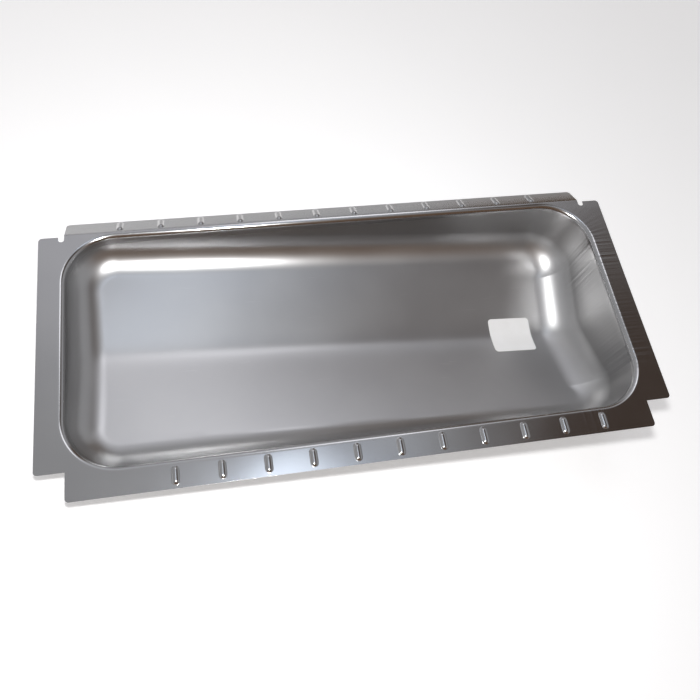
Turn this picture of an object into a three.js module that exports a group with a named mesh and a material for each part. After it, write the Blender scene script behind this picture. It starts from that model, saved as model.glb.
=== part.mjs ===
// Oil drain pan: one deep-drawn sheet-steel pressing with a flange on all four sides, and a
// blank adhesive label stuck across the low end of its valley floor.
// Millimetres, +Z up. X runs along the pan, with the deep end at +X, and +Y is the folded rear
// lip. The origin is the middle of the side flanges in plan, on the underside of the flange,
// which is the plane that the pan hangs by.
import * as THREE from 'three';

// ---- driving dimensions ----------------------------------------------------------------

const SHEET = 1.0;
const BEAD_PITCH = 50;

// Flange, seen from above.
const FLANGE_LENGTH = 741;
const SIDE_FLANGE_WIDTH = 297;
const FRONT_LIP_LENGTH = 677;
const FRONT_LIP_REACH = 32.5;
const REAR_LIP_LENGTH = 681;
const FOLD_SETBACK = 2.5;
const REAR_LIP_REACH = 27;
const REAR_LIP_DROP_DEG = 28;
const FLANGE_CORNER_RADIUS = 4.5;
const RELIEF_SLOT_WIDTH = 7;
const RELIEF_SLOT_DEPTH = 7;

// Stiffening beads, pressed up out of the front flange and the rear lip.
const BEAD_LENGTH = 21;
const BEAD_WIDTH = 8.5;
const BEAD_HEIGHT = 2.2;
const BEAD_CROWN_INSET = 2.6;
const FRONT_BEADS = { count: 11, firstPitch: -4.5, inFromEdge: 14.6 };
const REAR_BEADS = { count: 12, firstPitch: -5.5, outFromFold: 14 };

// Basin: a rounded rectangular opening, drafted walls and a valley floor that falls to +X.
const OPENING_LENGTH = 685.5;
const OPENING_WIDTH = 297;
const OPENING_SHIFT_Y = -2;
const OPENING_CORNER_RADIUS = 62.5;
const RIM_RADIUS = 6;
const WALL_DRAFT_DEG = 6;
const BOTTOM_FILLET_RADIUS = 42;
const SHORTEST_WALL = 1;
const VALLEY_Y = 4;
const VALLEY_ROUNDING = 12.5;
const FLOOR_HALF_WIDTH = 115;
const FLOOR_REFERENCE_X = 300;
const VALLEY_DEPTH = { shallowEnd: 47.5, deepEnd: 117.5 };
const FLOOR_EDGE_DEPTH = { shallowEnd: 34, deepEnd: 80 };

// Label, centred on the valley and bent to lie in it.
const LABEL = { length: 63.5, width: 50.8, cornerRadius: 5, thickness: 0.2, gap: 0.3, x: 241.3 };

// ---- mesh density ----------------------------------------------------------------------

const STEPS = { longSide: 20, halfEnd: 4, corner: 6, rimArc: 4, filletArc: 12, smallArc: 4 };
const FLOOR_ROWS = [0, 3, 8, 16, 30, 65];

// ---- derived values --------------------------------------------------------------------

const FLANGE_TOP = SHEET;
const SIDE_REAR_Y = SIDE_FLANGE_WIDTH / 2;
const SIDE_FRONT_Y = -SIDE_REAR_Y;
const FRONT_EDGE_Y = SIDE_FRONT_Y - FRONT_LIP_REACH;
const FOLD_Y = SIDE_REAR_Y + FOLD_SETBACK;
const RIM_START = -RIM_RADIUS / 2;
const STEEPEST_WALL = THREE.MathUtils.degToRad(90 - WALL_DRAFT_DEG);
const LIP_DROP = THREE.MathUtils.degToRad(REAR_LIP_DROP_DEG);
const UP = new THREE.Vector3(0, 0, 1);
const LIP_NORMAL = new THREE.Vector3(0, Math.sin(LIP_DROP), Math.cos(LIP_DROP));
const FOLD_OFFSET = new THREE.Vector3(0, Math.tan(LIP_DROP / 2), 1);

// ---- an open surface that is thickened into a closed sheet -------------------------------

class Sheet {
  constructor(thickness) {
    this.thickness = thickness;
    this.points = [];
    this.offsets = [];
    this.triangles = [];
  }

  // offset is the direction the sheet's thickness is measured against, one unit per thickness.
  addPoint(point, offset) {
    this.points.push(point);
    this.offsets.push(offset);
    return this.points.length - 1;
  }

  addTriangle(a, b, c) {
    if (a !== b && b !== c && c !== a) this.triangles.push([a, b, c]);
  }

  // Rings, columns and outlines are lists of { index, plan }, plan being a THREE.Vector2.

  // Joins two rings of equal length, the second one inside the first, both counter-clockwise.
  joinRings(outer, inner) {
    outer.forEach((corner, i) => {
      const next = (i + 1) % outer.length;
      this.addTriangle(corner.index, outer[next].index, inner[next].index);
      this.addTriangle(corner.index, inner[next].index, inner[i].index);
    });
  }

  // Joins two columns that both run towards +Y, the second one to the right, by stepping up
  // whichever of them gives the shorter crossing edge.
  joinColumns(left, right) {
    let i = 0;
    let j = 0;
    const crossing = (a, b) => (a && b ? a.plan.distanceTo(b.plan) : Infinity);
    while (i < left.length - 1 || j < right.length - 1) {
      if (crossing(left[i + 1], right[j]) < crossing(left[i], right[j + 1])) {
        this.addTriangle(left[i].index, right[j].index, left[i + 1].index);
        i += 1;
      } else {
        this.addTriangle(left[i].index, right[j].index, right[j + 1].index);
        j += 1;
      }
    }
  }

  // Fills a flat region.
  fillRegion(outline, holes = []) {
    const corners = [outline, ...holes].flat();
    const faces = THREE.ShapeUtils.triangulateShape(
      outline.map((corner) => corner.plan),
      holes.map((hole) => hole.map((corner) => corner.plan)),
    );
    for (const [a, b, c] of faces) {
      this.addTriangle(...facingUp(corners[a], corners[b], corners[c]));
    }
  }

  toGeometry() {
    const count = this.points.length;
    const under = this.points.map((point, i) =>
      point.clone().addScaledVector(this.offsets[i], -this.thickness));
    const faces = [];
    const edges = new Set();
    for (const [a, b, c] of this.triangles) {
      faces.push([a, b, c], [c + count, b + count, a + count]);
      for (const [from, to] of [[a, b], [b, c], [c, a]]) edges.add(`${from}>${to}`);
    }
    for (const edge of edges) {
      const [from, to] = edge.split('>').map(Number);
      if (edges.has(`${to}>${from}`)) continue;
      faces.push([to, from, from + count], [to, from + count, to + count]);
    }
    const geometry = new THREE.BufferGeometry().setFromPoints([...this.points, ...under]);
    geometry.setIndex(faces.flat());
    geometry.computeVertexNormals();
    return geometry;
  }
}

function facingUp(a, b, c) {
  const ab = b.plan.clone().sub(a.plan);
  const ac = c.plan.clone().sub(a.plan);
  return ab.cross(ac) > 0 ? [a.index, b.index, c.index] : [a.index, c.index, b.index];
}

function arc(centreX, centreY, radius, fromDeg, toDeg, steps) {
  return Array.from({ length: steps + 1 }, (_, i) => {
    const angle = THREE.MathUtils.degToRad(fromDeg + ((toDeg - fromDeg) * i) / steps);
    return new THREE.Vector2(centreX + radius * Math.cos(angle), centreY + radius * Math.sin(angle));
  });
}

// ---- basin ------------------------------------------------------------------------------

// Straight-line value along the pan, between the shallow end and the deep end.
function alongPan(ends, x) {
  const share = (x + FLOOR_REFERENCE_X) / (2 * FLOOR_REFERENCE_X);
  return THREE.MathUtils.lerp(ends.shallowEnd, ends.deepEnd, share);
}

function floorHeight(x, y) {
  const rise = Math.hypot(y - VALLEY_Y, VALLEY_ROUNDING) - VALLEY_ROUNDING;
  const valley = alongPan(VALLEY_DEPTH, x);
  const edge = alongPan(FLOOR_EDGE_DEPTH, x);
  return FLANGE_TOP - valley + ((valley - edge) * rise) / FLOOR_HALF_WIDTH;
}

function floorNormal(x, y) {
  const step = 0.01;
  const slopeX = (floorHeight(x + step, y) - floorHeight(x - step, y)) / (2 * step);
  const slopeY = (floorHeight(x, y + step) - floorHeight(x, y - step)) / (2 * step);
  return new THREE.Vector3(-slopeX, -slopeY, 1).normalize();
}

// Stations round the opening, counter-clockwise, each with its inward direction.
function openingStations() {
  const halfLength = OPENING_LENGTH / 2;
  const halfWidth = OPENING_WIDTH / 2;
  const straightX = halfLength - OPENING_CORNER_RADIUS;
  const straightY = halfWidth - OPENING_CORNER_RADIUS;
  const stations = [];
  const addSide = (from, to, steps) => {
    const forward = to.clone().sub(from).normalize();
    const inward = new THREE.Vector2(-forward.y, forward.x);
    for (let i = 0; i < steps; i += 1) {
      stations.push({ at: from.clone().lerp(to, i / steps), inward });
    }
  };
  const addCorner = (centre, fromDeg) => {
    const toDeg = fromDeg + 90;
    const points = arc(centre.x, centre.y, OPENING_CORNER_RADIUS, fromDeg, toDeg, STEPS.corner);
    for (const at of points.slice(0, -1)) {
      stations.push({ at, inward: centre.clone().sub(at).normalize() });
    }
  };
  const addEnd = (from, to) => {
    const valley = new THREE.Vector2(from.x, VALLEY_Y);
    addSide(from, valley, STEPS.halfEnd);
    addSide(valley, to, STEPS.halfEnd);
  };
  const plan = (x, y) => new THREE.Vector2(x, OPENING_SHIFT_Y + y);
  addSide(plan(-straightX, -halfWidth), plan(straightX, -halfWidth), STEPS.longSide);
  addCorner(plan(straightX, -straightY), -90);
  addEnd(plan(halfLength, -straightY), plan(halfLength, straightY));
  addCorner(plan(straightX, straightY), 0);
  addSide(plan(straightX, halfWidth), plan(-straightX, halfWidth), STEPS.longSide);
  addCorner(plan(-straightX, straightY), 90);
  addEnd(plan(-halfLength, straightY), plan(-halfLength, -straightY));
  addCorner(plan(-straightX, -straightY), 180);
  return stations;
}

// Value between low and high where isBelow turns from true to false.
function turningPoint(low, high, isBelow) {
  let from = low;
  let to = high;
  for (let pass = 0; pass < 40; pass += 1) {
    const middle = (from + to) / 2;
    if (isBelow(middle)) from = middle;
    else to = middle;
  }
  return from;
}

// Direction in a wall section, as (inset, height), that a surface of the given tilt faces.
// Tilt 0 is level, and tilt 90 degrees is an upright wall that faces into the basin.
function facing(tilt) {
  return new THREE.Vector2(Math.sin(tilt), Math.cos(tilt));
}

// Bottom fillet of one wall section: its centre, and its tilt at the wall and at the floor.
// The wall has its draft where the basin is deep. Where it is shallow the wall leans further,
// so that a short straight wall is left between the rim radius and the fillet.
function bottomFillet(floorAt) {
  const rimCentre = new THREE.Vector2(RIM_START, FLANGE_TOP - RIM_RADIUS);
  const floorTiltAt = (inset) => -Math.atan(floorAt(inset + 0.5) - floorAt(inset - 0.5));
  const centreOver = (contact) => new THREE.Vector2(contact, floorAt(contact))
    .addScaledVector(facing(floorTiltAt(contact)), BOTTOM_FILLET_RADIUS);
  const fromRim = (contact) => centreOver(contact).sub(rimCentre);
  const contactFor = (wallTilt) => turningPoint(0, OPENING_WIDTH / 2, (contact) =>
    fromRim(contact).dot(facing(wallTilt)) < RIM_RADIUS + BOTTOM_FILLET_RADIUS);
  const leavesWall = (wallTilt) =>
    fromRim(contactFor(wallTilt)).dot(facing(wallTilt + Math.PI / 2)) > SHORTEST_WALL;
  const wallTilt = turningPoint(STEEPEST_WALL / 2, STEEPEST_WALL, leavesWall);
  const contact = contactFor(wallTilt);
  return { centre: centreOver(contact), wallTilt, floorTilt: floorTiltAt(contact) };
}

// Wall section at one station, in the plane of its inward direction: the rim radius from the
// flange to the wall, and the bottom fillet from the wall to the floor.
function wallSection({ at, inward }) {
  const { centre, wallTilt, floorTilt } = bottomFillet((inset) => {
    const plan = at.clone().addScaledVector(inward, inset);
    return floorHeight(plan.x, plan.y);
  });
  const place = (section, tilt) => {
    const plan = at.clone().addScaledVector(inward, section.x);
    const across = inward.clone().multiplyScalar(Math.sin(tilt));
    return {
      point: new THREE.Vector3(plan.x, plan.y, section.y),
      normal: new THREE.Vector3(across.x, across.y, Math.cos(tilt)),
    };
  };
  const rim = [];
  for (let i = 0; i <= STEPS.rimArc; i += 1) {
    const tilt = (wallTilt * i) / STEPS.rimArc;
    const corner = new THREE.Vector2(RIM_START, FLANGE_TOP - RIM_RADIUS);
    rim.push(place(corner.addScaledVector(facing(tilt), RIM_RADIUS), tilt));
  }
  const fillet = [];
  for (let i = 0; i <= STEPS.filletArc; i += 1) {
    const tilt = THREE.MathUtils.lerp(wallTilt, floorTilt, i / STEPS.filletArc);
    const point = centre.clone().addScaledVector(facing(tilt), -BOTTOM_FILLET_RADIUS);
    fillet.push(place(point, tilt));
  }
  return [...rim, ...fillet];
}

// Adds the floor inside the ring where the fillet meets it: columns across the valley between
// the long walls, and beyond them the two ends of the ring.
function addFloor(sheet, contacts) {
  const { longSide, corner, halfEnd } = STEPS;
  const rearStart = longSide + 2 * (corner + halfEnd);
  const rearEnd = rearStart + longSide;
  const crossings = [...FLOOR_ROWS.slice(1).map((row) => -row).reverse(), ...FLOOR_ROWS];
  const columns = contacts.slice(0, longSide + 1).map((front, i) => {
    const { x } = front.plan;
    const between = crossings.map((row) => {
      const y = VALLEY_Y + row;
      const point = new THREE.Vector3(x, y, floorHeight(x, y));
      return { index: sheet.addPoint(point, floorNormal(x, y)), plan: new THREE.Vector2(x, y) };
    });
    return [front, ...between, contacts[rearEnd - i]];
  });
  const shallowEnd = [...contacts.slice(rearEnd), contacts[0]].reverse();
  const deepEnd = contacts.slice(longSide, rearStart + 1);
  const lines = [shallowEnd, ...columns, deepEnd];
  for (let i = 1; i < lines.length; i += 1) sheet.joinColumns(lines[i - 1], lines[i]);
}

// Adds the basin and returns the ring where its rim meets the flange.
function addBasin(sheet) {
  const sections = openingStations().map(wallSection);
  const rings = sections[0].map((_, level) => sections.map((section) => {
    const { point, normal } = section[level];
    return { index: sheet.addPoint(point, normal), plan: new THREE.Vector2(point.x, point.y) };
  }));
  for (let level = 1; level < rings.length; level += 1) {
    sheet.joinRings(rings[level - 1], rings[level]);
  }
  addFloor(sheet, rings[rings.length - 1]);
  return rings[0];
}

// ---- flange -------------------------------------------------------------------------------

// Outline of the level flange, counter-clockwise: notched front corners, and a relief slot
// between each side flange and the folded rear lip. Its last edge is the fold.
function flangeOutline() {
  const radius = FLANGE_CORNER_RADIUS;
  const sideX = FLANGE_LENGTH / 2;
  const frontX = FRONT_LIP_LENGTH / 2;
  const rearX = REAR_LIP_LENGTH / 2;
  const slotRadius = RELIEF_SLOT_WIDTH / 2;
  const slotEnd = SIDE_REAR_Y - RELIEF_SLOT_DEPTH + slotRadius;
  const right = [
    ...arc(frontX - radius, FRONT_EDGE_Y + radius, radius, -90, 0, STEPS.smallArc),
    new THREE.Vector2(frontX, SIDE_FRONT_Y),
    ...arc(sideX - radius, SIDE_FRONT_Y + radius, radius, -90, 0, STEPS.smallArc),
    ...arc(sideX - radius, SIDE_REAR_Y - radius, radius, 0, 90, STEPS.smallArc),
    new THREE.Vector2(rearX + RELIEF_SLOT_WIDTH, SIDE_REAR_Y),
    ...arc(rearX + slotRadius, slotEnd, slotRadius, 0, -180, STEPS.smallArc),
    new THREE.Vector2(rearX, FOLD_Y),
  ];
  const left = right.map((point) => new THREE.Vector2(-point.x, point.y)).reverse();
  return [...right, ...left];
}

// Rear lip outline in its own plane: x along the fold, y outward from the fold.
function lipOutline() {
  const radius = FLANGE_CORNER_RADIUS;
  const rearX = REAR_LIP_LENGTH / 2;
  const right = [
    new THREE.Vector2(rearX, 0),
    ...arc(rearX - radius, REAR_LIP_REACH - radius, radius, 0, 90, STEPS.smallArc),
  ];
  const left = right.map((point) => new THREE.Vector2(-point.x, point.y)).reverse();
  return [...right, ...left];
}

const onFlange = {
  place: (plan, raised = 0) => new THREE.Vector3(plan.x, plan.y, FLANGE_TOP + raised),
  normal: UP,
};

const onLip = {
  place: (plan, raised = 0) =>
    new THREE.Vector3(
      plan.x,
      FOLD_Y + plan.y * Math.cos(LIP_DROP),
      FLANGE_TOP - plan.y * Math.sin(LIP_DROP),
    ).addScaledVector(LIP_NORMAL, raised),
  normal: LIP_NORMAL,
};

function stadium(x, y, inset) {
  const radius = BEAD_WIDTH / 2 - inset;
  const reach = (BEAD_LENGTH - BEAD_WIDTH) / 2;
  return [
    ...arc(x, y - reach, radius, 180, 360, STEPS.smallArc),
    ...arc(x, y + reach, radius, 0, 180, STEPS.smallArc),
  ];
}

// Adds one raised bead and returns its foot, which is a hole in the surface around it.
function addBead(sheet, surface, x, y) {
  const ring = (inset, raised) => stadium(x, y, inset).map((plan) => (
    { index: sheet.addPoint(surface.place(plan, raised), surface.normal), plan }));
  const foot = ring(0, 0);
  const crown = ring(BEAD_CROWN_INSET, BEAD_HEIGHT);
  sheet.joinRings(foot, crown);
  sheet.fillRegion(crown);
  return foot;
}

function beadRow(sheet, surface, { count, firstPitch }, y) {
  return Array.from({ length: count }, (_, i) =>
    addBead(sheet, surface, (firstPitch + i) * BEAD_PITCH, y));
}

// ---- sub-parts ----------------------------------------------------------------------------

function panPressing() {
  const sheet = new Sheet(SHEET);
  const opening = addBasin(sheet);
  const flange = flangeOutline().map((plan) => {
    const offset = plan.y === FOLD_Y ? FOLD_OFFSET : UP;
    return { index: sheet.addPoint(onFlange.place(plan), offset), plan };
  });
  const frontBeads = beadRow(sheet, onFlange, FRONT_BEADS, FRONT_EDGE_Y + FRONT_BEADS.inFromEdge);
  sheet.fillRegion(flange, [opening, ...frontBeads]);

  const foldEnds = flange.filter(({ plan }) => plan.y === FOLD_Y);
  const lip = lipOutline().map((plan) => {
    const shared = plan.y === 0 && foldEnds.find((corner) => corner.plan.x === plan.x);
    return { index: shared ? shared.index : sheet.addPoint(onLip.place(plan), LIP_NORMAL), plan };
  });
  sheet.fillRegion(lip, beadRow(sheet, onLip, REAR_BEADS, REAR_BEADS.outFromFold));
  return sheet.toGeometry();
}

// Height of the pan's faceted floor between the rows of its mesh.
function facetedFloorHeight(x, y) {
  const away = Math.abs(y - VALLEY_Y);
  const outer = FLOOR_ROWS.findIndex((row, i) => i > 0 && away <= row);
  const [nearer, further] = FLOOR_ROWS.slice(outer - 1, outer + 1);
  const share = (away - nearer) / (further - nearer);
  return THREE.MathUtils.lerp(
    floorHeight(x, VALLEY_Y + nearer), floorHeight(x, VALLEY_Y + further), share);
}

function labelSheet() {
  const { length, width, cornerRadius, thickness, gap } = LABEL;
  const straight = width / 2 - cornerRadius;
  const corner = arc(0, straight, cornerRadius, 0, 90, STEPS.smallArc);
  const valleyRows = FLOOR_ROWS.filter((row) => row > 0 && row < straight);
  const rising = [
    ...valleyRows.map((row) => ({ y: row, inset: 0 })),
    ...corner.map((point) => ({ y: point.y, inset: cornerRadius - point.x })),
  ];
  const rows = [
    ...rising.map(({ y, inset }) => ({ y: -y, inset })).reverse(),
    { y: 0, inset: 0 },
    ...rising,
  ];
  const sheet = new Sheet(thickness);
  const edges = rows.map(({ y, inset }) => [-1, 1].map((side) => {
    const x = LABEL.x + side * (length / 2 - inset);
    const z = facetedFloorHeight(x, VALLEY_Y + y) + gap + thickness;
    return sheet.addPoint(new THREE.Vector3(x, VALLEY_Y + y, z), UP);
  }));
  for (let i = 1; i < edges.length; i += 1) {
    const [left, right] = edges[i];
    const [leftBefore, rightBefore] = edges[i - 1];
    sheet.addTriangle(leftBefore, rightBefore, right);
    sheet.addTriangle(leftBefore, right, left);
  }
  return sheet.toGeometry();
}

// ---- assembly -----------------------------------------------------------------------------

const steel = new THREE.MeshStandardMaterial({ color: 0x9d9ea1, metalness: 1, roughness: 0.32 });
const labelPaper = new THREE.MeshStandardMaterial({ color: 0xf1f1f0, metalness: 0, roughness: 0.5 });

function part(name, geometry, material) {
  const mesh = new THREE.Mesh(geometry, material);
  mesh.name = name;
  return mesh;
}

const oilDrainPan = new THREE.Group();
oilDrainPan.add(part('pan_pressing', panPressing(), steel));
oilDrainPan.add(part('blank_label', labelSheet(), labelPaper));

export default oilDrainPan;
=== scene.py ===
"""Oil drain pan: the finished surfaces, materials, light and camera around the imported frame.

Metres, +Z up, in the frame's own axes: +X towards the deep end, +Y towards the folded rear lip,
and Z = 0 on the underside of the flange.
"""

import math

import bmesh
import bpy
import numpy as np
from mathutils import Matrix, Vector
from mathutils.geometry import delaunay_2d_cdt


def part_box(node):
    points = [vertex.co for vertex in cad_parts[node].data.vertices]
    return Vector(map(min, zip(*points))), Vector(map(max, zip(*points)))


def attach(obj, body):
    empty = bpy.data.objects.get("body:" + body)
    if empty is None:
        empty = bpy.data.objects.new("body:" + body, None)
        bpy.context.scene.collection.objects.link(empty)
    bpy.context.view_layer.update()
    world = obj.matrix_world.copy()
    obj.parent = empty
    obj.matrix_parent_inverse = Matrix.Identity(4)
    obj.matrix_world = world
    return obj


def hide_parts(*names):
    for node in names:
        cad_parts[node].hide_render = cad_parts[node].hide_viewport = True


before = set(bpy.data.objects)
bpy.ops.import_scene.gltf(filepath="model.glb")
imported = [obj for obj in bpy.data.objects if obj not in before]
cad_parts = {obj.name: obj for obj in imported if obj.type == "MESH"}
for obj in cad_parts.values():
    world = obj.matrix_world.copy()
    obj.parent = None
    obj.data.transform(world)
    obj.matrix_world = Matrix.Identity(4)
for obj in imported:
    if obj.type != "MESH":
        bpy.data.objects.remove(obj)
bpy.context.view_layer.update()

MM = 0.001
LEAST_LENGTH_SQUARED = 1e-18
STEP_SLACK = 1e-6
TRIANGULATION_SLACK = 1e-9
WELD_GAP = 0.002 * MM
SHORTEST_EDGE = 0.001 * MM

# ---- sizes from the frame's boxes, and the sheet -------------------------------------------

PAN_LOW, PAN_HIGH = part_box("pan_pressing")
LABEL_LOW, LABEL_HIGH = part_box("blank_label")

SHEET = 1.0 * MM
SHEET_EDGE_RADIUS = 0.12 * MM
FLANGE_TOP = SHEET
ROUNDING_ROOM = 0.01 * MM
SIDE_X = PAN_HIGH.x - ROUNDING_ROOM
FRONT_EDGE_Y = PAN_LOW.y + ROUNDING_ROOM
BEAD_HEIGHT = PAN_HIGH.z - FLANGE_TOP

# ---- flange --------------------------------------------------------------------------------

BEAD_PITCH = 50 * MM
SIDE_FLANGE_HALF_WIDTH = 148.5 * MM
FRONT_LIP_HALF_LENGTH = 338.5 * MM
REAR_LIP_HALF_LENGTH = 340.5 * MM
REAR_LIP_REACH = 27 * MM
REAR_LIP_DROP = math.radians(28)
FOLD_Y = PAN_HIGH.y - REAR_LIP_REACH * math.cos(REAR_LIP_DROP)
FOLD_RADIUS = 2 * MM
FOLD_TANGENT = FOLD_RADIUS * math.tan(REAR_LIP_DROP / 2)
FLANGE_CORNER_RADIUS = 4.5 * MM
RELIEF_SLOT_WIDTH = 7 * MM
RELIEF_SLOT_DEPTH = 7 * MM

BEAD_LENGTH = 21 * MM
BEAD_WIDTH = 8.5 * MM
BEAD_SKIRT = 0.5 * MM
BEAD_FOOT_SOFTNESS = 0.06
BEAD_ROUNDNESS = 0.62
FRONT_BEAD_COUNT = 11
FRONT_BEAD_FIRST = -4.5 * BEAD_PITCH
FRONT_BEAD_Y = FRONT_EDGE_Y + 14.6 * MM
REAR_BEAD_COUNT = 12
REAR_BEAD_FIRST = -5.5 * BEAD_PITCH
REAR_BEAD_OUT = 14 * MM

# ---- basin ---------------------------------------------------------------------------------

OPENING_HALF_LENGTH = 342.75 * MM
OPENING_HALF_WIDTH = 148.5 * MM
OPENING_SHIFT_Y = -2 * MM
OPENING_CORNER_RADIUS = 62.5 * MM
RIM_RADIUS = 6 * MM
RIM_START = -RIM_RADIUS / 2
STEEPEST_WALL = math.radians(84)
SHORTEST_WALL = 1 * MM
BOTTOM_FILLET_RADIUS = 42 * MM
VALLEY_Y = 4 * MM
VALLEY_ROUNDING = 12.5 * MM
FLOOR_HALF_WIDTH = 115 * MM
FLOOR_REFERENCE_X = 300 * MM
VALLEY_DEPTH = (47.5 * MM, 117.5 * MM)
FLOOR_EDGE_DEPTH = (34 * MM, 80 * MM)

# ---- label ---------------------------------------------------------------------------------

LABEL_CORNER_RADIUS = 5 * MM
LABEL_THICKNESS = 0.2 * MM
LABEL_LIFT = 0.05 * MM
LABEL_EDGE_RADIUS = 0.03 * MM
LABEL_CLEARANCE = 0.8 * MM

# ---- mesh density --------------------------------------------------------------------------

CORNER_STEPS = 10
ROUND_END_STEPS = 14
OUTLINE_STEP = 5 * MM
BEAD_OUTLINE_STEP = 3 * MM
LABEL_OUTLINE_STEP = 1.5 * MM
FINE_STATION_STEP = 0.9 * MM
COARSE_STATION_STEP = 4 * MM
RIM_POINTS = 13
WALL_POINTS = 9
FILLET_POINTS = 29
FOLD_POINTS = 6
FLOOR_COLUMNS = np.arange(-330, 331, 5) * MM
LIP_COLUMNS = np.arange(-337, 338, 5) * MM
LIP_ROWS = np.arange(4, 26, 4) * MM
VALLEY_ROWS = np.array([0, 1.5, 3, 4.5, 6.5, 9, 12, 15.5, 19.5, 24]) * MM
OUTER_ROWS = np.arange(30, 150, 6) * MM
FLANGE_RINGS = np.array([2, 4.5, 7.5, 11, 14.5, 18, 21.5, 25, 30, 36, 43, 50, 58, 66]) * MM
LAST_BEAD_RING = 0.96
BEAD_RINGS = np.array([0, 0.05, 0.10, 0.16, 0.23, 0.31, 0.40, 0.51, 0.64, 0.80, LAST_BEAD_RING])
LABEL_GRID = (44, 36)

# ---- camera --------------------------------------------------------------------------------

SENSOR = 36.0
LENS = 35.28
CAMERA_AT = Vector((-0.1510, -0.3679, 0.7419))
CAMERA_FORWARD = Vector((0.1673, 0.3978, -0.9021))
CAMERA_RIGHT = Vector((0.9808, -0.1603, 0.1111))

# ---- studio and light ----------------------------------------------------------------------

FLOOR_HALF_SIZE = 8.0
FLOOR_GAP = 0.3 * MM
LAMP_RAISE = 0.10
LAMP_SIZE = (0.07, 0.05)
LAMP_POWER = 6.0
FILL_BACK = 2.2
FILL_RAISE = 0.5
FILL_SIZE = (0.5, 0.4)
FILL_POWER = 1
BASE_TONE = (0.36, 0.36, 0.37)
SURROUNDINGS = (
    # centre, radii, inner share, tone
    ((0.05, 0.60), (0.62, 0.33), 0.4, (0.54, 0.54, 0.57)),
    ((0.0, -0.9), (1.4, 0.85), 0.3, (0.14, 0.09, 0.06)),
    ((0.10, 0.12), (0.26, 0.26), 0.3, (0.46, 0.50, 0.57)),
    ((0.53, 0.10), (0.30, 0.62), 0.35, (0.065, 0.045, 0.035)),
    ((0.40, 0.84), (0.30, 0.17), 0.4, (0.12, 0.09, 0.07)),
    ((0.16, 0.49), (0.19, 0.13), 0.7, (1.60, 1.60, 1.68)),
    ((0.05, 0.20), (0.10, 0.065), 0.8, (1.75, 1.95, 2.25)),
)

# ---- finishes ------------------------------------------------------------------------------

NOISE_MIDDLE = (0.3, 0.7)
STEEL_TONES = ((0.59, 0.59, 0.595), (0.62, 0.62, 0.622))
SCRATCH_TONE = (0.78, 0.78, 0.78)
SCRATCH_BAND = (0.68, 0.74)
SCRATCH_STRENGTH = 0.18
# Painted shade on the steep walls: its dark tone, the band of upward facing over which it fades
# out, and its strength.
WALL_PAINTED_SHADE_TONE = (0.30, 0.295, 0.295)
WALL_UPWARD = (0.55, 0.15)
WALL_PAINTED_SHADE_STRENGTH = 0.8
FLANGE_ROUGHNESS = 0.15
BASIN_ROUGHNESS = 0.295
DEEP_END_ROUGHENING = 0.10
CLOUD_ROUGHENING = 0.01
ROUGH_BELOW = -12 * MM
ROUGHEST_AT_X = 310 * MM
LABEL_TONES = ((0.90, 0.90, 0.89), (0.93, 0.93, 0.925))
LABEL_ROUGHNESS = 0.42
STUDIO_TONES = ((0.93, 0.93, 0.93), (0.95, 0.95, 0.95))
STUDIO_ROUGHNESS = 0.7
STUDIO_GLOW = 0.34


# ---- plane geometry ------------------------------------------------------------------------

def arc(centre_x, centre_y, radius, start_deg, end_deg, steps):
    """Points along a circular arc, both ends included."""
    angles = np.radians(np.linspace(start_deg, end_deg, steps + 1))
    return np.column_stack((centre_x + radius * np.cos(angles), centre_y + radius * np.sin(angles)))


def inside(points, outline):
    """True for each point that lies inside the closed outline."""
    x, y = points[:, 0], points[:, 1]
    found = np.zeros(len(points), bool)
    for (x0, y0), (x1, y1) in zip(outline, np.roll(outline, -1, axis=0)):
        if y0 == y1:
            continue
        crosses = (y0 > y) != (y1 > y)
        found ^= crosses & (x < (x1 - x0) * (y - y0) / (y1 - y0) + x0)
    return found


def clear_of(points, outline, margin):
    """True for each point that is further than margin from the outline's own line."""
    spans = np.roll(outline, -1, axis=0) - outline
    lengths = np.maximum((spans ** 2).sum(axis=1), LEAST_LENGTH_SQUARED)
    nearest = np.full(len(points), np.inf)
    for start, span, length in zip(outline, spans, lengths):
        share = np.clip(((points - start) @ span) / length, 0, 1)
        gap = points - start - share[:, None] * span
        nearest = np.minimum(nearest, np.hypot(gap[:, 0], gap[:, 1]))
    return nearest > margin


def subdivide(outline, step):
    """The closed outline with extra points, so that no edge is longer than step."""
    pieces = []
    for start, end in zip(outline, np.roll(outline, -1, axis=0)):
        count = max(1, math.ceil(np.hypot(*(end - start)) / step - STEP_SLACK))
        pieces.append(start + (end - start) * (np.arange(count) / count)[:, None])
    return np.vstack(pieces)


def smoothstep(x):
    """Soft ramp from 0 at x = 0 to 1 at x = 1."""
    x = np.clip(x, 0, 1)
    return x * x * (3 - 2 * x)


# ---- mesh assembly -------------------------------------------------------------------------

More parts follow.
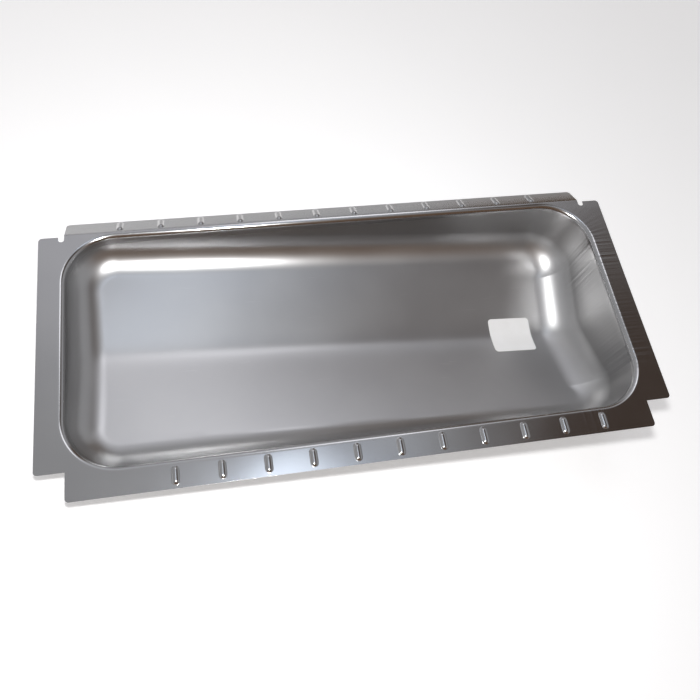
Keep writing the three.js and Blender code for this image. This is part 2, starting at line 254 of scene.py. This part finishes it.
class Patchwork:
    """Points and faces from several patches, welded where their edges meet."""

    def __init__(self):
        self.points = []
        self.faces = []
        self.count = 0

    def add(self, points, faces):
        self.points.append(np.asarray(points, float))
        self.faces.extend([[i + self.count for i in face] for face in faces])
        self.count += len(points)

    def add_rows(self, rows, closed):
        """Rows of equal length, joined by quads. Closed rows run counter-clockwise, inwards."""
        rows = np.asarray(rows, float)
        levels, width = rows.shape[:2]
        columns = range(width if closed else width - 1)
        faces = []
        for level in range(levels - 1):
            for i in columns:
                j = (i + 1) % width
                faces.append([level * width + i, level * width + j,
                              (level + 1) * width + j, (level + 1) * width + i])
        self.add(rows.reshape(-1, 3), faces)

    def add_region(self, outline, holes, interior, place):
        """A filled region of the plane, put in space by place(points)."""
        loops = [outline, *holes]
        edges = []
        start = 0
        for loop in loops:
            count = len(loop)
            edges += [(start + i, start + (i + 1) % count) for i in range(count)]
            start += count
        plan = np.vstack([*loops, interior])
        result = delaunay_2d_cdt([Vector(p) for p in plan], edges, [], 0, TRIANGULATION_SLACK)
        points = np.array([tuple(v) for v in result[0]])
        faces = np.array([list(f) for f in result[2]])
        middles = points[faces].mean(axis=1)
        kept = inside(middles, outline)
        for hole in holes:
            low, high = hole.min(axis=0), hole.max(axis=0)
            near = np.all((middles >= low) & (middles <= high), axis=1)
            kept[near] &= ~inside(middles[near], hole)
        self.add(place(points), faces[kept].tolist())

    def to_object(self, name):
        mesh = bpy.data.meshes.new(name)
        mesh.from_pydata(np.vstack(self.points).tolist(), [], self.faces)
        work = bmesh.new()
        work.from_mesh(mesh)
        bmesh.ops.remove_doubles(work, verts=work.verts, dist=WELD_GAP)
        bmesh.ops.dissolve_degenerate(work, edges=work.edges, dist=SHORTEST_EDGE)
        work.to_mesh(mesh)
        work.free()
        mesh.polygons.foreach_set("use_smooth", [True] * len(mesh.polygons))
        made = bpy.data.objects.new(name, mesh)
        bpy.context.scene.collection.objects.link(made)
        return made


# ---- the opening's outline ---------------------------------------------------------------

STRAIGHT_X = OPENING_HALF_LENGTH - OPENING_CORNER_RADIUS
STRAIGHT_Y = OPENING_HALF_WIDTH - OPENING_CORNER_RADIUS
CORNER_RUN = OPENING_CORNER_RADIUS * math.pi / 2
RUNS = [2 * STRAIGHT_X, CORNER_RUN, 2 * STRAIGHT_Y, CORNER_RUN] * 2
RUN_ENDS = np.cumsum(RUNS)
CORNER_SIDES = ((1, -1), (1, 1), (-1, 1), (-1, -1))
RUN_HEADINGS = ((1, 0), (0, 1), (-1, 0), (0, -1))
DEEP_END_START = RUN_ENDS[0] - 45 * MM
DEEP_END_END = RUN_ENDS[3] + 25 * MM


def opening_point(along):
    """Point and inward direction at a distance along the opening, counter-clockwise from the
    left end of its front side."""
    run = int(np.searchsorted(RUN_ENDS, along, side="right"))
    run = min(run, len(RUNS) - 1)
    side = run // 2
    passed = along - (RUN_ENDS[run] - RUNS[run])
    if run % 2:
        turn = -math.pi / 2 + side * math.pi / 2 + passed / OPENING_CORNER_RADIUS
        outward = np.array([math.cos(turn), math.sin(turn)])
        to_right, to_rear = CORNER_SIDES[side]
        centre = np.array([to_right * STRAIGHT_X, to_rear * STRAIGHT_Y + OPENING_SHIFT_Y])
        return centre + OPENING_CORNER_RADIUS * outward, -outward
    forward = np.array(RUN_HEADINGS[side], float)
    inward = np.array([-forward[1], forward[0]])
    half_across = abs(inward @ np.array([OPENING_HALF_LENGTH, OPENING_HALF_WIDTH]))
    middle = np.array([0, OPENING_SHIFT_Y]) - inward * half_across
    return middle + forward * (passed - RUNS[run] / 2), inward


def station_runs():
    """Distances along the opening: close together round the deep end, where draw marks show."""
    distances = [0.0]
    while distances[-1] < RUN_ENDS[-1]:
        deep = DEEP_END_START < distances[-1] < DEEP_END_END
        distances.append(distances[-1] + (FINE_STATION_STEP if deep else COARSE_STATION_STEP))
    distances = np.array(distances[:-1])
    return distances[distances < RUN_ENDS[-1] - COARSE_STATION_STEP / 2]


STATION_RUNS = station_runs()
STATIONS = [opening_point(along) for along in STATION_RUNS]
STATION_AT = np.array([at for at, _ in STATIONS])
STATION_INWARD = np.array([inward for _, inward in STATIONS])


# ---- surface relief ------------------------------------------------------------------------

def wave_bank(seed, count, shortest, longest):
    """Random waves as (wave numbers, phases, weights), longest ones strongest."""
    random = np.random.RandomState(seed)
    lengths = shortest * (longest / shortest) ** random.rand(count)
    return 2 * math.pi / lengths, random.rand(count) * 2 * math.pi, np.sqrt(lengths / longest)


MARK_HEIGHT = 0.026 * MM
MARK_FADE = 20 * MM
MARK_REACH = 34 * MM
FAINTEST_MARKS = 0.10
WALL_STREAKS = 2.0
MARK_WAVES = wave_bank(seed=11, count=14, shortest=2.6 * MM, longest=11 * MM)
MARK_GROUPS = (
    # middle, half width and strength of each group of marks along the opening
    (RUN_ENDS[0] - 6 * MM, 16 * MM, 0.8),
    (RUN_ENDS[1] + 2 * MM, 16 * MM, 1.0),
    (RUN_ENDS[1] + 60 * MM, 26 * MM, 0.35),
    (RUN_ENDS[2] - 18 * MM, 26 * MM, 0.65),
)

PLATE_WAVE_COUNT = 10
PLATE_WAVE_HEIGHT = 0.05 * MM
PLATE_WAVES = wave_bank(seed=23, count=PLATE_WAVE_COUNT, shortest=90 * MM, longest=260 * MM)
PLATE_HEADINGS = np.random.RandomState(29).rand(PLATE_WAVE_COUNT) * math.pi
FLOOR_WAVE_SHARE = 0.6
FLOOR_WAVES_END = 270 * MM
FLOOR_WAVES_FADE = 60 * MM
FOLD_WAVES_FADE = 15 * MM

POINTS_PER_BLOCK = 2000


def draw_marks(along):
    """Height of the drawing ripples that run square to the rim, by distance along the opening."""
    numbers, phases, weights = MARK_WAVES
    ripple = sum(w * np.sin(k * along + p) for k, p, w in zip(numbers, phases, weights))
    strength = FAINTEST_MARKS
    for middle, half_width, group_strength in MARK_GROUPS:
        strength = strength + group_strength * np.exp(-(((along - middle) / half_width) ** 2))
    deep = smoothstep((along - DEEP_END_START) / MARK_FADE)
    deep = deep * smoothstep((DEEP_END_END - along) / MARK_FADE)
    return MARK_HEIGHT * ripple * strength * deep


def plate_waves(points):
    """Slow unevenness of the pressed sheet."""
    numbers, phases, weights = PLATE_WAVES
    total = np.zeros(len(points))
    for k, p, w, heading in zip(numbers, phases, weights, PLATE_HEADINGS):
        total += w * np.sin(k * (points @ [math.cos(heading), math.sin(heading)]) + p)
    return PLATE_WAVE_HEIGHT * total


def nearest_station(points):
    """Index of the station nearest to each point, worked out in blocks to save memory."""
    found = np.empty(len(points), int)
    for start in range(0, len(points), POINTS_PER_BLOCK):
        block = points[start:start + POINTS_PER_BLOCK]
        gaps = ((block[:, None, :] - STATION_AT[None]) ** 2).sum(axis=2)
        found[start:start + POINTS_PER_BLOCK] = gaps.argmin(axis=1)
    return found


def flange_relief(points):
    """Height of the draw marks and plate waves on the flange, which die out at the fold."""
    nearest = nearest_station(points)
    away = np.hypot(*(points - STATION_AT[nearest]).T)
    marks = draw_marks(STATION_RUNS[nearest]) * np.exp(-((away / MARK_REACH) ** 2))
    beside_fold = smoothstep((FOLD_Y - FOLD_TANGENT - points[:, 1]) / FOLD_WAVES_FADE)
    return (marks + plate_waves(points)) * beside_fold


# ---- placing points on the pressing ----------------------------------------------------------

def on_flange(points, raised=0.0):
    """Points of the flange. The relief fades out up a bead, so that its crown keeps its height."""
    heights = FLANGE_TOP + flange_relief(points) * (1 - raised / BEAD_HEIGHT) + raised
    return np.column_stack((points, heights))


def on_lip(points, raised=0.0):
    """Points of the rear lip's own plane: x along the fold, y outward from the fold."""
    sine, cosine = math.sin(REAR_LIP_DROP), math.cos(REAR_LIP_DROP)
    return np.column_stack((
        points[:, 0],
        FOLD_Y + points[:, 1] * cosine + raised * sine,
        FLANGE_TOP - points[:, 1] * sine + raised * cosine,
    ))


def along_pan(ends, x):
    """Value at x of a depth given at the shallow and the deep reference points."""
    share = (x + FLOOR_REFERENCE_X) / (2 * FLOOR_REFERENCE_X)
    return ends[0] + (ends[1] - ends[0]) * share


def floor_height(x, y):
    """Top surface of the floor: a valley with a rounded crease, which falls to the deep end."""
    rise = np.hypot(y - VALLEY_Y, VALLEY_ROUNDING) - VALLEY_ROUNDING
    valley = along_pan(VALLEY_DEPTH, x)
    edge = along_pan(FLOOR_EDGE_DEPTH, x)
    return FLANGE_TOP - valley + (valley - edge) * rise / FLOOR_HALF_WIDTH + ROUNDING_ROOM


def on_floor(points):
    """Points of the floor. Its waves fade out at the deep end, which keeps its full depth."""
    waves = plate_waves(points) * smoothstep((FLOOR_WAVES_END - points[:, 0]) / FLOOR_WAVES_FADE)
    heights = floor_height(points[:, 0], points[:, 1]) + waves * FLOOR_WAVE_SHARE
    return np.column_stack((points, heights))


def turning_point(low, high, is_below, halvings=40):
    """Value between low and high where is_below turns from true to false."""
    for _ in range(halvings):
        middle = (low + high) / 2
        if is_below(middle):
            low = middle
        else:
            high = middle
    return low


def facing(tilt):
    """Direction in a wall section, as (inset, height). Tilt 0 faces up, a quarter turn inward."""
    return np.array([math.sin(tilt), math.cos(tilt)])


def bottom_fillet(at, inward):
    """Centre of the fillet in one wall section, and its tilts at the wall and at the floor.

    The wall has its draft where the basin is deep. Where it is shallow the wall leans further,
    so that a short straight wall is left between the rim radius and the fillet.
    """
    rim_centre = np.array([RIM_START, FLANGE_TOP - RIM_RADIUS])
    half_step = 0.5 * MM

    def height(inset):
        return float(floor_height(*(at + inward * inset)))

    def floor_tilt(contact):
        rise = height(contact + half_step) - height(contact - half_step)
        return -math.atan(rise / (2 * half_step))

    def centre_over(contact):
        return [contact, height(contact)] + BOTTOM_FILLET_RADIUS * facing(floor_tilt(contact))

    def contact_for(wall_tilt):
        reach = RIM_RADIUS + BOTTOM_FILLET_RADIUS
        towards = facing(wall_tilt)

        def too_near(contact):
            return (centre_over(contact) - rim_centre) @ towards < reach

        return turning_point(0, OPENING_HALF_WIDTH, too_near)

    def leaves_wall(wall_tilt):
        down_wall = facing(wall_tilt + math.pi / 2)
        return (centre_over(contact_for(wall_tilt)) - rim_centre) @ down_wall > SHORTEST_WALL

    wall_tilt = STEEPEST_WALL
    if not leaves_wall(STEEPEST_WALL):
        wall_tilt = turning_point(STEEPEST_WALL / 2, STEEPEST_WALL, leaves_wall)
    contact = contact_for(wall_tilt)
    return centre_over(contact), wall_tilt, floor_tilt(contact)


def wall_section(at, inward):
    """Rim radius, wall and bottom fillet in the plane of one station, as (points, normals)."""
    centre, wall_tilt, floor_tilt = bottom_fillet(at, inward)
    tilts = np.linspace(0, wall_tilt, RIM_POINTS)
    rim = np.column_stack((RIM_START + RIM_RADIUS * np.sin(tilts),
                           FLANGE_TOP - RIM_RADIUS * (1 - np.cos(tilts))))
    bend = np.linspace(wall_tilt, floor_tilt, FILLET_POINTS)
    fillet = centre - BOTTOM_FILLET_RADIUS * np.column_stack((np.sin(bend), np.cos(bend)))
    shares = np.linspace(0, 1, WALL_POINTS)[1:-1]
    wall = rim[-1] + shares[:, None] * (fillet[0] - rim[-1])
    profile = np.vstack((rim, wall, fillet))
    angles = np.concatenate((tilts, np.full(len(wall), wall_tilt), bend))
    plan = at + profile[:, :1] * inward
    points = np.column_stack((plan, profile[:, 1]))
    normals = np.column_stack((np.sin(angles)[:, None] * inward, np.cos(angles)))
    return points, normals


# ---- patches of the pressing -----------------------------------------------------------------

# Shares of the way down a wall section, from the rim (0) to the floor (1).
UPPER_SHARE = 0.35
STREAKS_FADE_FROM = 0.25
STREAKS_FADE_OVER = 0.5

FLOOR_CLEARANCE = 2 * MM
OUTLINE_CLEARANCE = 1.2 * MM
BEAD_CLEARANCE = 0.8 * MM
BEAD_SURROUND = 2 * MM
BEVEL_SEGMENTS = 2
BEVEL_FROM = math.radians(60)


def add_basin(patches):
    """Rim, walls, fillets and floor. Returns the ring where the rim meets the flange."""
    sections = [wall_section(at, inward) for at, inward in STATIONS]
    rows = np.array([points for points, _ in sections]).transpose(1, 0, 2)
    normals = np.array([normal for _, normal in sections]).transpose(1, 0, 2)
    levels = len(rows)
    rim_ring = rows[0][:, :2].copy()
    lift = on_flange(rim_ring)[:, 2] - FLANGE_TOP
    marks = draw_marks(STATION_RUNS)
    for level in range(levels):
        deep = level / (levels - 1)
        upper = 1 - smoothstep(deep / UPPER_SHARE)
        fade = 1 - smoothstep((deep - STREAKS_FADE_FROM) / STREAKS_FADE_OVER)
        streaks = WALL_STREAKS * marks * fade
        rows[level] += normals[level] * (streaks * (1 - upper))[:, None]
        rows[level][:, 2] += lift * upper
    floor_ring = rows[-1][:, :2].copy()
    rows[-1] = on_floor(floor_ring)
    patches.add_rows(rows, closed=True)

    steps = np.concatenate((VALLEY_ROWS, OUTER_ROWS))
    ys = VALLEY_Y + np.concatenate((-steps[:0:-1], steps))
    grid = np.array([(x, y) for y in ys for x in FLOOR_COLUMNS])
    grid = grid[inside(grid, floor_ring)]
    grid = grid[clear_of(grid, floor_ring[::3], FLOOR_CLEARANCE)]
    patches.add_region(floor_ring, [], grid, on_floor)
    return rim_ring


def flange_outline():
    """Outline of the level flange, counter-clockwise. Its last edge runs along the fold."""
    radius = FLANGE_CORNER_RADIUS
    slot_radius = RELIEF_SLOT_WIDTH / 2
    slot_end = SIDE_FLANGE_HALF_WIDTH - RELIEF_SLOT_DEPTH + slot_radius
    fold_edge = FOLD_Y - FOLD_TANGENT
    right = np.vstack((
        arc(FRONT_LIP_HALF_LENGTH - radius, FRONT_EDGE_Y + radius, radius, -90, 0, CORNER_STEPS),
        [(FRONT_LIP_HALF_LENGTH, -SIDE_FLANGE_HALF_WIDTH)],
        arc(SIDE_X - radius, -SIDE_FLANGE_HALF_WIDTH + radius, radius, -90, 0, CORNER_STEPS),
        arc(SIDE_X - radius, SIDE_FLANGE_HALF_WIDTH - radius, radius, 0, 90, CORNER_STEPS),
        [(REAR_LIP_HALF_LENGTH + RELIEF_SLOT_WIDTH, SIDE_FLANGE_HALF_WIDTH)],
        arc(REAR_LIP_HALF_LENGTH + slot_radius, slot_end, slot_radius, 0, -180, ROUND_END_STEPS),
        [(REAR_LIP_HALF_LENGTH, fold_edge)],
    ))
    left = (right * [-1, 1])[::-1]
    return subdivide(np.vstack((right, left)), OUTLINE_STEP)


def lip_outline():
    """Outline of the flat part of the rear lip, in the lip's own plane."""
    radius = FLANGE_CORNER_RADIUS
    right = np.vstack((
        [(REAR_LIP_HALF_LENGTH, FOLD_TANGENT)],
        arc(REAR_LIP_HALF_LENGTH - radius, REAR_LIP_REACH - radius, radius, 0, 90, CORNER_STEPS),
    ))
    left = (right * [-1, 1])[::-1]
    return subdivide(np.vstack((right, left)), OUTLINE_STEP)


def stadium(x, y, inset):
    """Outline of a bead drawn in by inset: two round ends joined by straight sides."""
    radius = BEAD_WIDTH / 2 - inset
    reach = (BEAD_LENGTH - BEAD_WIDTH) / 2
    lower = arc(x, y - reach, radius, 180, 360, ROUND_END_STEPS)
    upper = arc(x, y + reach, radius, 0, 180, ROUND_END_STEPS)
    return subdivide(np.vstack((lower, upper)), BEAD_OUTLINE_STEP)


def bead_rise(share):
    """Height of a bead as a share of its crown, from its foot (0) to its ridge (1)."""
    eased = share * share / (share + BEAD_FOOT_SOFTNESS) * (1 + BEAD_FOOT_SOFTNESS)
    return (1 - (1 - eased) ** 2) ** BEAD_ROUNDNESS


def add_bead(patches, place, x, y):
    """One raised bead with a narrow flat skirt, whose outline is a hole in the surface around."""
    skirt = stadium(x, y, -BEAD_SKIRT)
    foot = stadium(x, y, 0)
    ridge_outline = stadium(x, y, BEAD_WIDTH / 2 * LAST_BEAD_RING)
    rows = [place(skirt)]
    for share in BEAD_RINGS:
        ring = foot + (ridge_outline - foot) * (share / LAST_BEAD_RING)
        rows.append(place(ring, BEAD_HEIGHT * bead_rise(share)))
    patches.add_rows(rows, closed=True)
    ridge = rows[-1]
    patches.add(ridge, [list(range(len(ridge)))])
    return skirt


def add_bead_row(patches, place, count, first, y):
    return [add_bead(patches, place, first + i * BEAD_PITCH, y) for i in range(count)]


def clear_interior(points, outline, holes):
    """The points that lie well inside the outline and well outside every hole."""
    points = points[inside(points, outline)]
    points = points[clear_of(points, outline, OUTLINE_CLEARANCE)]
    for hole in holes:
        low, high = hole.min(axis=0) - BEAD_SURROUND, hole.max(axis=0) + BEAD_SURROUND
        near = np.all((points > low) & (points < high), axis=1)
        kept = ~near
        kept[near] = ~inside(points[near], hole) & clear_of(points[near], hole, BEAD_CLEARANCE)
        points = points[kept]
    return points


def add_flange(patches, rim_ring):
    beads = add_bead_row(patches, on_flange, FRONT_BEAD_COUNT, FRONT_BEAD_FIRST, FRONT_BEAD_Y)
    outline = flange_outline()
    rings = [STATION_AT - STATION_INWARD * (RIM_RADIUS / 2 + away) for away in FLANGE_RINGS]
    interior = clear_interior(np.vstack(rings), outline, beads)
    patches.add_region(outline, [rim_ring, *beads], interior, on_flange)


def add_rear_lip(patches):
    beads = add_bead_row(patches, on_lip, REAR_BEAD_COUNT, REAR_BEAD_FIRST, REAR_BEAD_OUT)
    outline = lip_outline()
    grid = np.array([(x, y) for y in LIP_ROWS for x in LIP_COLUMNS])
    interior = clear_interior(grid, outline, beads)
    patches.add_region(outline, beads, interior, on_lip)

    edge = outline[np.isclose(outline[:, 1], FOLD_TANGENT)]
    edge = edge[np.argsort(edge[:, 0])]
    turns = np.linspace(0, REAR_LIP_DROP, FOLD_POINTS)
    rows = [np.column_stack((
        edge[:, 0],
        np.full(len(edge), FOLD_Y - FOLD_TANGENT + FOLD_RADIUS * math.sin(turn)),
        np.full(len(edge), FLANGE_TOP - FOLD_RADIUS * (1 - math.cos(turn))),
    )) for turn in turns]
    patches.add_rows(rows, closed=False)


def thicken(piece, thickness, edge_radius):
    """Give a surface its thickness, downwards, and break its sharp edges."""
    solid = piece.modifiers.new("sheet", "SOLIDIFY")
    solid.thickness = thickness
    solid.offset = -1
    solid.use_even_offset = True
    bevel = piece.modifiers.new("edge", "BEVEL")
    bevel.width = edge_radius
    bevel.segments = BEVEL_SEGMENTS
    bevel.limit_method = "ANGLE"
    bevel.angle_limit = BEVEL_FROM
    bevel.harden_normals = True


def pan_pressing():
    patches = Patchwork()
    rim_ring = add_basin(patches)
    add_flange(patches, rim_ring)
    add_rear_lip(patches)
    pan = patches.to_object("pan_pressing_surface")
    thicken(pan, SHEET, SHEET_EDGE_RADIUS)
    return pan


# ---- label -----------------------------------------------------------------------------------

def label():
    """A rounded rectangle of label stock, bent to lie in the valley."""
    middle = (LABEL_LOW + LABEL_HIGH) / 2
    half_x = (LABEL_HIGH.x - LABEL_LOW.x) / 2
    half_y = (LABEL_HIGH.y - LABEL_LOW.y) / 2
    radius = LABEL_CORNER_RADIUS
    corners = [(1, -1, -90), (1, 1, 0), (-1, 1, 90), (-1, -1, 180)]
    outline = np.vstack([
        arc(middle.x + sx * (half_x - radius), middle.y + sy * (half_y - radius),
            radius, start, start + 90, CORNER_STEPS)
        for sx, sy, start in corners
    ])
    outline = subdivide(outline, LABEL_OUTLINE_STEP)
    columns, rows = LABEL_GRID
    xs = middle.x + np.linspace(-half_x, half_x, columns)
    ys = middle.y + np.linspace(-half_y, half_y, rows)
    grid = np.array([(x, y) for y in ys for x in xs])
    grid = grid[inside(grid, outline)]
    grid = grid[clear_of(grid, outline, LABEL_CLEARANCE)]

    def place(points):
        placed = on_floor(points)
        placed[:, 2] += LABEL_THICKNESS + LABEL_LIFT
        return placed

    patches = Patchwork()
    patches.add_region(outline, [], grid, place)
    piece = patches.to_object("blank_label_stock")
    thicken(piece, LABEL_THICKNESS, LABEL_EDGE_RADIUS)
    return piece


# ---- materials -------------------------------------------------------------------------------

class Nodes:
    """Adds nodes to one node tree. An input is a number, a vector or another node's output."""

    MIX_INPUTS = (6, 7)
    MIX_RESULT = 2

    def __init__(self, tree):
        self.tree = tree

    def fill(self, socket, value):
        if isinstance(value, bpy.types.NodeSocket):
            self.tree.links.new(value, socket)
        else:
            socket.default_value = value

    def node(self, kind, inputs=None, **settings):
        made = self.tree.nodes.new("ShaderNode" + kind)
        for key, value in settings.items():
            setattr(made, key, value)
        for key, value in (inputs or {}).items():
            self.fill(made.inputs[key], value)
        return made

    def maths(self, operation, a, b):
        return self.node("Math", {0: a, 1: b}, operation=operation).outputs["Value"]

    def vector_maths(self, operation, a, b):
        return self.node("VectorMath", {0: a, 1: b}, operation=operation).outputs["Vector"]

    def spread(self, value, band, results=(0, 1), **settings):
        """Map the band of input values to the range between the two results."""
        return self.node("MapRange", {
            "Value": value,
            "From Min": band[0],
            "From Max": band[1],
            "To Min": results[0],
            "To Max": results[1],
        }, **settings).outputs["Result"]

    def blend_colours(self, share, first, second):
        """Mix of two colours, where share is that of the second one."""
        made = self.node("Mix", {"Factor": share}, data_type="RGBA")
        for index, colour in zip(self.MIX_INPUTS, (first, second)):
            plain = not isinstance(colour, bpy.types.NodeSocket)
            self.fill(made.inputs[index], (*colour, 1) if plain else colour)
        return made.outputs[self.MIX_RESULT]


class Shader(Nodes):
    """The nodes of one new material, around its Principled BSDF."""

    def __init__(self, name):
        self.material = bpy.data.materials.new(name)
        self.material.use_nodes = True
        super().__init__(self.material.node_tree)
        self.surface = self.tree.nodes["Principled BSDF"]
        coordinates = self.node("TexCoord").outputs
        self.place = coordinates["Object"]
        self.normal = coordinates["Normal"]

    def noise(self, scale, detail, stretch=(1, 1, 1), distortion=0.0):
        mapped = self.node("Mapping", {"Vector": self.place, "Scale": stretch}).outputs["Vector"]
        return self.node("TexNoise", {
            "Vector": mapped, "Scale": scale, "Detail": detail, "Distortion": distortion,
        }).outputs["Fac"]

    def bump(self, height, distance, strength, below=None):
        inputs = {"Height": height, "Distance": distance, "Strength": strength}
        if below is not None:
            inputs["Normal"] = below
        return self.node("Bump", inputs).outputs["Normal"]

    def set(self, **values):
        for key, value in values.items():
            self.fill(self.surface.inputs[key.replace("_", " ")], value)


def steel_colour(s, clouds):
    """Cloudy grey with light scratches, and painted shade on the steep walls: their colour is
    darkened towards a dark grey where the surface faces sideways.
    """
    scratches = s.noise(scale=240, detail=3, stretch=(0.015, 1, 1), distortion=0.3)
    colour = s.blend_colours(s.spread(clouds, NOISE_MIDDLE), *STEEL_TONES)
    scratched = s.maths("MULTIPLY", s.spread(scratches, SCRATCH_BAND), SCRATCH_STRENGTH)
    colour = s.blend_colours(scratched, colour, SCRATCH_TONE)
    # Painted shade: the colour is darkened where the surface faces sideways, as on the walls.
    upward = s.node("SeparateXYZ", {"Vector": s.normal}).outputs["Z"]
    painted_wall_shade = s.spread(upward, WALL_UPWARD, (0, WALL_PAINTED_SHADE_STRENGTH))
    return s.blend_colours(painted_wall_shade, colour, WALL_PAINTED_SHADE_TONE)


def steel_roughness(s, clouds):
    """Smooth on the flange and rougher where the sheet was drawn down, most at the deep end."""
    axes = s.node("SeparateXYZ", {"Vector": s.place}).outputs
    drawn = s.spread(axes["Z"], (0, ROUGH_BELOW))
    deep_end = s.spread(axes["X"], (0, ROUGHEST_AT_X))
    in_basin = s.maths("ADD", BASIN_ROUGHNESS, s.maths("MULTIPLY", deep_end, DEEP_END_ROUGHENING))
    gained = s.maths("MULTIPLY", drawn, s.maths("SUBTRACT", in_basin, FLANGE_ROUGHNESS))
    rough = s.maths("ADD", FLANGE_ROUGHNESS, gained)
    patchy = s.spread(clouds, NOISE_MIDDLE, (-CLOUD_ROUGHENING, CLOUD_ROUGHENING))
    return s.maths("ADD", rough, patchy)


def steel_material():
    """Cold-rolled sheet with a fine rolling grain along the pan and small pits."""
    s = Shader("pressed_steel")
    clouds = s.noise(scale=14, detail=4)
    grain = s.noise(scale=900, detail=2, stretch=(0.12, 1, 1))
    pits = s.noise(scale=2600, detail=2)
    grained = s.bump(grain, distance=0.003 * MM, strength=0.5)
    s.set(
        Base_Color=steel_colour(s, clouds),
        Metallic=1.0,
        Roughness=steel_roughness(s, clouds),
        Normal=s.bump(pits, distance=0.004 * MM, strength=0.4, below=grained),
    )
    return s.material


def label_material():
    """Matt-coated white label stock with a faint fibre tooth."""
    s = Shader("label_stock")
    fibre = s.noise(scale=1800, detail=3)
    shade = s.spread(s.noise(scale=60, detail=2), NOISE_MIDDLE)
    s.set(
        Base_Color=s.blend_colours(shade, *LABEL_TONES),
        Roughness=LABEL_ROUGHNESS,
        Normal=s.bump(fibre, distance=0.01 * MM, strength=0.3),
    )
    return s.material


def floor_material():
    """Near-white studio floor that glows a little, so that it shows as plain white."""
    s = Shader("studio_floor")
    shade = s.spread(s.noise(scale=3, detail=2), NOISE_MIDDLE)
    s.set(
        Base_Color=s.blend_colours(shade, *STUDIO_TONES),
        Roughness=STUDIO_ROUGHNESS,
        Emission_Color=(1, 1, 1, 1),
        Emission_Strength=STUDIO_GLOW,
    )
    return s.material


def finish_piece(piece, material, node):
    """Give a piece its material, and let it ride on the frame in place of its CAD node."""
    piece.data.materials.append(material)
    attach(piece, "root")
    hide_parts(node)


# ---- studio ------------------------------------------------------------------------------------

def studio_floor():
    """A pale floor that touches the underside of the sloping valley."""
    slope = (VALLEY_DEPTH[1] - VALLEY_DEPTH[0]) / (2 * FLOOR_REFERENCE_X)
    middle_depth = sum(VALLEY_DEPTH) / 2
    reach = FLOOR_HALF_SIZE
    z = FLANGE_TOP - middle_depth - SHEET * math.sqrt(1 + slope ** 2) - FLOOR_GAP
    corners = [(sx * reach, sy * reach, z - sx * reach * slope)
               for sx, sy in ((-1, -1), (1, -1), (1, 1), (-1, 1))]
    mesh = bpy.data.meshes.new("studio_floor")
    mesh.from_pydata(corners, [], [(0, 1, 2, 3)])
    floor = bpy.data.objects.new("studio_floor", mesh)
    bpy.context.scene.collection.objects.link(floor)
    mesh.materials.append(floor_material())


def area_light(name, at, target, size, power):
    data = bpy.data.lights.new(name, "AREA")
    data.shape = "RECTANGLE"
    data.size, data.size_y = size
    data.energy = power
    light = bpy.data.objects.new(name, data)
    light.location = at
    light.rotation_euler = (Vector(target) - Vector(at)).to_track_quat("-Z", "Y").to_euler()
    bpy.context.scene.collection.objects.link(light)


def studio_lights():
    """A small lamp just above the camera, and a weak fill further back that faces the pan."""
    camera_up = CAMERA_RIGHT.cross(CAMERA_FORWARD).normalized()
    lamp_at = CAMERA_AT + camera_up * LAMP_RAISE
    area_light("lamp_over_camera", lamp_at, lamp_at + CAMERA_FORWARD, LAMP_SIZE, LAMP_POWER)
    fill_at = CAMERA_AT - CAMERA_FORWARD * FILL_BACK + camera_up * FILL_RAISE
    area_light("fill_behind_camera", fill_at, (0, 0, 0), FILL_SIZE, FILL_POWER)


def studio_world():
    """Soft surroundings painted by direction: x and y are those of the unit direction."""
    world = bpy.data.worlds.new("studio")
    bpy.context.scene.world = world
    world.use_nodes = True
    n = Nodes(world.node_tree)
    direction = n.node("TexCoord").outputs["Generated"]
    axes = n.node("SeparateXYZ", {"Vector": direction}).outputs
    flat = n.node("CombineXYZ", {"X": axes["X"], "Y": axes["Y"]}).outputs["Vector"]
    colour = BASE_TONE
    for centre, radii, inner, tone in SURROUNDINGS:
        offset = n.vector_maths("SUBTRACT", flat, (*centre, 0))
        scaled = n.vector_maths("DIVIDE", offset, (*radii, 1))
        distance = n.node("VectorMath", {0: scaled}, operation="LENGTH").outputs["Value"]
        mask = n.spread(distance, (1, inner), interpolation_type="SMOOTHSTEP")
        colour = n.blend_colours(mask, colour, tone)
    n.fill(n.tree.nodes["Background"].inputs["Color"], colour)


def camera():
    """The camera at the fitted viewpoint, with its roll set by CAMERA_RIGHT."""
    data = bpy.data.cameras.new("camera")
    data.sensor_width = SENSOR
    data.lens = LENS
    placed = bpy.data.objects.new("camera", data)
    forward = CAMERA_FORWARD.normalized()
    right = (CAMERA_RIGHT - forward * CAMERA_RIGHT.dot(forward)).normalized()
    up = right.cross(forward)
    turned = Matrix((right, up, -forward)).transposed().to_4x4()
    placed.matrix_world = Matrix.Translation(CAMERA_AT) @ turned
    bpy.context.scene.collection.objects.link(placed)
    bpy.context.scene.camera = placed


# ---- scene -------------------------------------------------------------------------------------

finish_piece(pan_pressing(), steel_material(), "pan_pressing")
finish_piece(label(), label_material(), "blank_label")
studio_floor()
studio_lights()
studio_world()
camera()
bpy.context.scene.view_settings.view_transform = "Standard"
